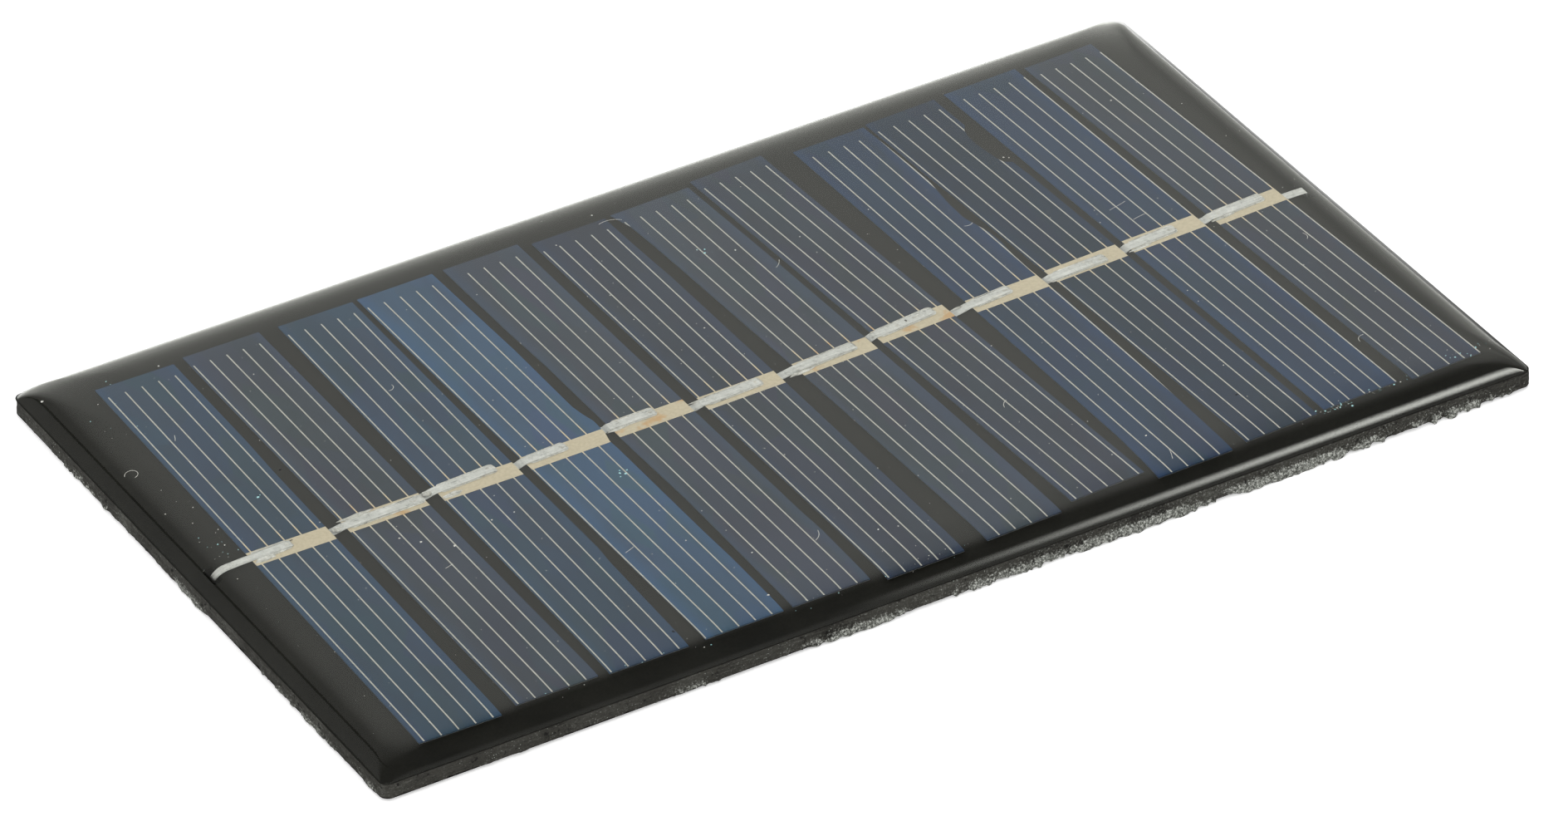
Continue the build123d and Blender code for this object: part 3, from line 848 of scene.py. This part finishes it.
def make_studio():
    """Even soft light all round, and another studio that only glossy rays see.

    The mirrored studio is dark overhead and white low down behind the panel and to its right,
    and one long lamp at the front right draws the bright line along the front rim.  A dark
    upright beam stands left of the middle of its back wall.
    """
    world = bpy.data.worlds.new("studio")
    bpy.context.scene.world = world
    world.use_nodes = True
    g = Graph(world.node_tree)
    way = g.add("TexCoord").outputs["Generated"]
    x, y, z = g.add("SeparateXYZ", None, {"Vector": way}).outputs
    flat = g.math("SQRT", g.math("ADD", g.math("MULTIPLY", x, x), g.math("MULTIPLY", y, y)))
    aside = g.math("DIVIDE", x, flat)
    lean = g.math("ADD", aside, g.math("SUBTRACT", 0.56, z))
    rightward = g.math("MULTIPLY_ADD", g.between(aside, 0.40, 0.56), 0.20,
                       g.between(lean, -0.15, 0.35, 0.0, 0.50))
    behind = g.between(y, -0.25, 0.25)
    most = BACK_WALL[0][1]
    stops = [(at, (v / most, v / most, v / most, 1)) for at, v in BACK_WALL]
    height = g.ramp(z, stops, smooth=False)
    back_wall = g.math("MULTIPLY", g.math("MULTIPLY", rightward, behind), most)
    far_right = g.math("MULTIPLY", g.between(aside, 0.50, 0.585), g.between(z, 0.58, 0.50))
    dimming = g.math("MULTIPLY_ADD", far_right, FAR_RIGHT_DIMMING, 1.0)
    back_wall = g.math("MULTIPLY", back_wall, dimming)
    back_wall = g.math("MULTIPLY", back_wall, height)
    lamp = g.math("MULTIPLY", g.between(x, 0.39, 0.45), g.between(y, -0.28, -0.42))
    off_lamp = g.math("ABSOLUTE", g.math("SUBTRACT", z, LAMP_HEIGHT))
    lamp = g.math("MULTIPLY", lamp, g.between(off_lamp, 0.0, LAMP_REACH, LAMP_STRENGTH, 0.0))
    haze = g.between(y, 0.3, 0.7, 0.04, 0.27)
    low_front = g.math("MULTIPLY", g.between(y, -0.3, -0.6), g.between(z, 0.62, 0.45, 0.0, 0.3))
    haze = g.math("ADD", haze, low_front)
    mirrored = g.math("ADD", g.math("ADD", back_wall, lamp), haze)
    beam = g.between(g.math("ABSOLUTE", g.math("ADD", aside, BEAM_ASIDE)), *BEAM_HALF_WIDTH)
    beam = g.math("MAXIMUM", beam, g.between(z, 0.40, 0.30))
    mirrored = g.math("MULTIPLY", mirrored, g.math("MAXIMUM", beam, g.between(y, 0.1, -0.1)))
    soft = g.math("MULTIPLY_ADD", x, SOFT_RIGHTWARD, SOFT_LIGHT)
    soft = g.math("MULTIPLY_ADD", y, SOFT_BACKWARD, soft)
    path = g.add("LightPath").outputs["Is Glossy Ray"]
    strength = g.math("ADD", g.math("MULTIPLY", path, mirrored),
                      g.math("MULTIPLY", g.math("SUBTRACT", 1.0, path), soft))
    tone = g.blend(path, (1, 1, 1, 1), MIRROR_TONE)
    shine = g.add("Background", None, {"Color": tone, "Strength": strength})
    output = g.add("OutputWorld")
    g.tree.links.new(shine.outputs[0], output.inputs["Surface"])
    bpy.context.scene.view_settings.view_transform = "Standard"


# ---- Put it together ----

# Silicon shades as sRGB: a wafer's coating makes it bluer or greyer
GREY = (50, 58, 70)
SLATE = (42, 50, 64)
STEEL = (42, 60, 78)
BRIGHT = (50, 74, 98)
ROYAL = (28, 48, 72)
NAVY = (20, 38, 58)
# The shade of each strip, from the left end
CELL_SHADES = [STEEL, GREY, STEEL, BRIGHT, GREY, SLATE, GREY, SLATE, ROYAL, NAVY, ROYAL, SLATE]
CELL_TILTS = [-0.95, -0.40, -0.85, 0.25, 0.15, 0.35, 1.40, 2.50, 0.90, 1.85, 1.60, 2.15]
STAINED = (2, 5, 7, 8)


def dress(name, material):
    """Give a CAD node its material."""
    mesh_slots = nodes[name].material_slots
    if not mesh_slots:
        nodes[name].data.materials.append(material)
    for holder in mesh_slots:
        holder.material = material


def dress_cells():
    """Each strip with a silicon of its own, and the silver print on it."""
    plain_print = print_material(False)
    stained_print = print_material(True)
    for number, (tint, tilt) in enumerate(zip(CELL_SHADES, CELL_TILTS), 1):
        low, high = span(f"cell_{number:02d}")
        centre_x = (low.x + high.x) / 2
        dress(f"cell_{number:02d}", cell_material(number, tint, centre_x, tilt))
        dress(f"front_grid_{number:02d}", stained_print if number in STAINED else plain_print)


def dress_metal():
    ribbon = metal_material("tinned_ribbon", (138, 139, 134), (188, 189, 184), (212, 213, 208),
                            0.9, 0.02, 0.10)
    solder = metal_material("solder_film", (104, 102, 94), (182, 181, 173), (226, 226, 220),
                            0.55, 0.05, 0.15)
    for number in range(1, 14):
        dress(f"ribbon_{number:02d}", ribbon)
    make_lead(ribbon)
    make_solder_spread(solder)
    for name in ("front_solder", "rear_solder", "terminal_solder"):
        dress(name, solder)


def dress_rest():
    mask = mask_material()
    dress("front_mask", mask)
    dress("back_mask", mask)
    copper = plain_material("tinned_pad", (122, 121, 113), (172, 170, 160), 1.4, 0.4, 0.7)
    for name in ("pad_negative", "pad_positive", "polarity_marks"):
        dress(name, copper)
    dress("rear_contacts", plain_material("rear_paste", (120, 118, 112), (160, 156, 148), 2.0, 0.6))
    dress("cell_adhesive", plain_material("adhesive", (170, 168, 158), (200, 198, 186), 1.5, 0.5))


make_studio()
make_floor()
make_camera()
dress_cells()
dress_metal()
dress_rest()
make_board(laminate_material())
make_resin(resin_material())
make_dust()
